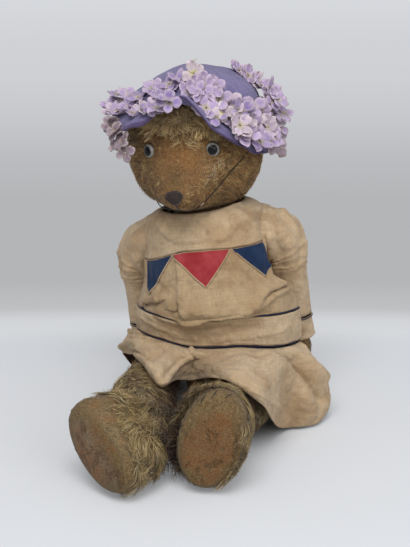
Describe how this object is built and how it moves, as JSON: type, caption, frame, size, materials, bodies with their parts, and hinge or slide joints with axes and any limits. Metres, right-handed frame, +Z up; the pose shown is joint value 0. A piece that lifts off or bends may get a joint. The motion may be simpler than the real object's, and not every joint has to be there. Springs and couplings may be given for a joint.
{
  "type": "teddy bear",
  "caption": "Seated threadbare mohair teddy bear with disc joints, in a worn linen dress with pennants and a piped belt, and a lavender hat trimmed with florets.",
  "frame": {"origin": "the middle of the seat, where the bear sits on the surface", "axes": "+Z up, -Y the way the bear faces, +X its own left side"},
  "size_m": [0.2461, 0.3357, 0.366],
  "materials": {
    "mohair": "worn mohair pile over woven backing",
    "felt": "rust-brown felt, stained",
    "linen": "worn, unevenly faded beige linen",
    "pennant_blue": "plain blue cotton",
    "pennant_red": "plain red cotton",
    "navy_piping": "covered cord",
    "hat_cloth": "lavender woven cloth",
    "petals": "stiffened cloth petals, pale lilac",
    "eye_glass": "clear glass over a grey back, black pupil",
    "stitching": "dark wool thread",
    "elastic": "thin dark covered elastic",
    "joint_board": "pressed board",
    "cotter_pin": "plain steel"
  },
  "bodies": {
    "torso": {"torso": "mohair", "head_body_disc": "joint_board", "left_arm_body_disc": "joint_board", "right_arm_body_disc": "joint_board", "left_leg_body_disc": "joint_board", "right_leg_body_disc": "joint_board", "yoke": "linen", "bodice": "linen", "belt": "linen", "belt_piping_top": "navy_piping", "belt_piping_bottom": "navy_piping", "skirt": "linen", "left_pennant": "pennant_blue", "middle_pennant": "pennant_red", "right_pennant": "pennant_blue"},
    "head": {"head": "mohair", "left_eye": "eye_glass", "right_eye": "eye_glass", "left_ear": "mohair", "right_ear": "mohair", "nose": "stitching", "head_limb_disc": "joint_board", "head_pin": "cotter_pin", "hat": "hat_cloth", "chin_elastic": "elastic", "floret_01": "petals", "floret_02": "petals", "floret_03": "petals", "floret_04": "petals", "floret_05": "petals", "floret_06": "petals", "floret_07": "petals", "floret_08": "petals", "floret_09": "petals", "floret_10": "petals", "floret_11": "petals", "floret_12": "petals"},
    "left_arm": {"left_arm": "mohair", "left_paw_pad": "felt", "left_arm_limb_disc": "joint_board", "left_arm_pin": "cotter_pin", "left_sleeve": "linen", "left_cuff": "linen"},
    "left_leg": {"left_leg": "mohair", "left_foot_pad": "felt", "left_leg_limb_disc": "joint_board", "left_leg_pin": "cotter_pin"},
    "right_arm": {"right_arm": "mohair", "right_paw_pad": "felt", "right_arm_limb_disc": "joint_board", "right_arm_pin": "cotter_pin", "right_sleeve": "linen", "right_cuff": "linen"},
    "right_leg": {"right_leg": "mohair", "right_foot_pad": "felt", "right_leg_limb_disc": "joint_board", "right_leg_pin": "cotter_pin"}
  },
  "joints": [
    {"name": "neck", "type": "hinge", "parent": "torso", "child": "head", "pos_m": [-0.01873, 0.002, 0.22332], "axis": [-0.1392, 0, 0.9903], "range_deg": [-60, 60]},
    {"name": "left_shoulder", "type": "hinge", "parent": "torso", "child": "left_arm", "pos_m": [0.03388, 0.01, 0.19386], "axis": [0.9903, 0, 0.1392], "range_deg": [0, 90]},
    {"name": "right_shoulder", "type": "hinge", "parent": "torso", "child": "right_arm", "pos_m": [-0.06118, 0.01, 0.1805], "axis": [0.9903, 0, 0.1392], "range_deg": [0, 90]},
    {"name": "left_hip", "type": "hinge", "parent": "torso", "child": "left_leg", "pos_m": [0.034, 0.008, 0.046], "axis": [1, 0, 0], "range_deg": [0, 90]},
    {"name": "right_hip", "type": "hinge", "parent": "torso", "child": "right_leg", "pos_m": [-0.034, 0.008, 0.046], "axis": [1, 0, 0], "range_deg": [0, 90]}
  ]
}
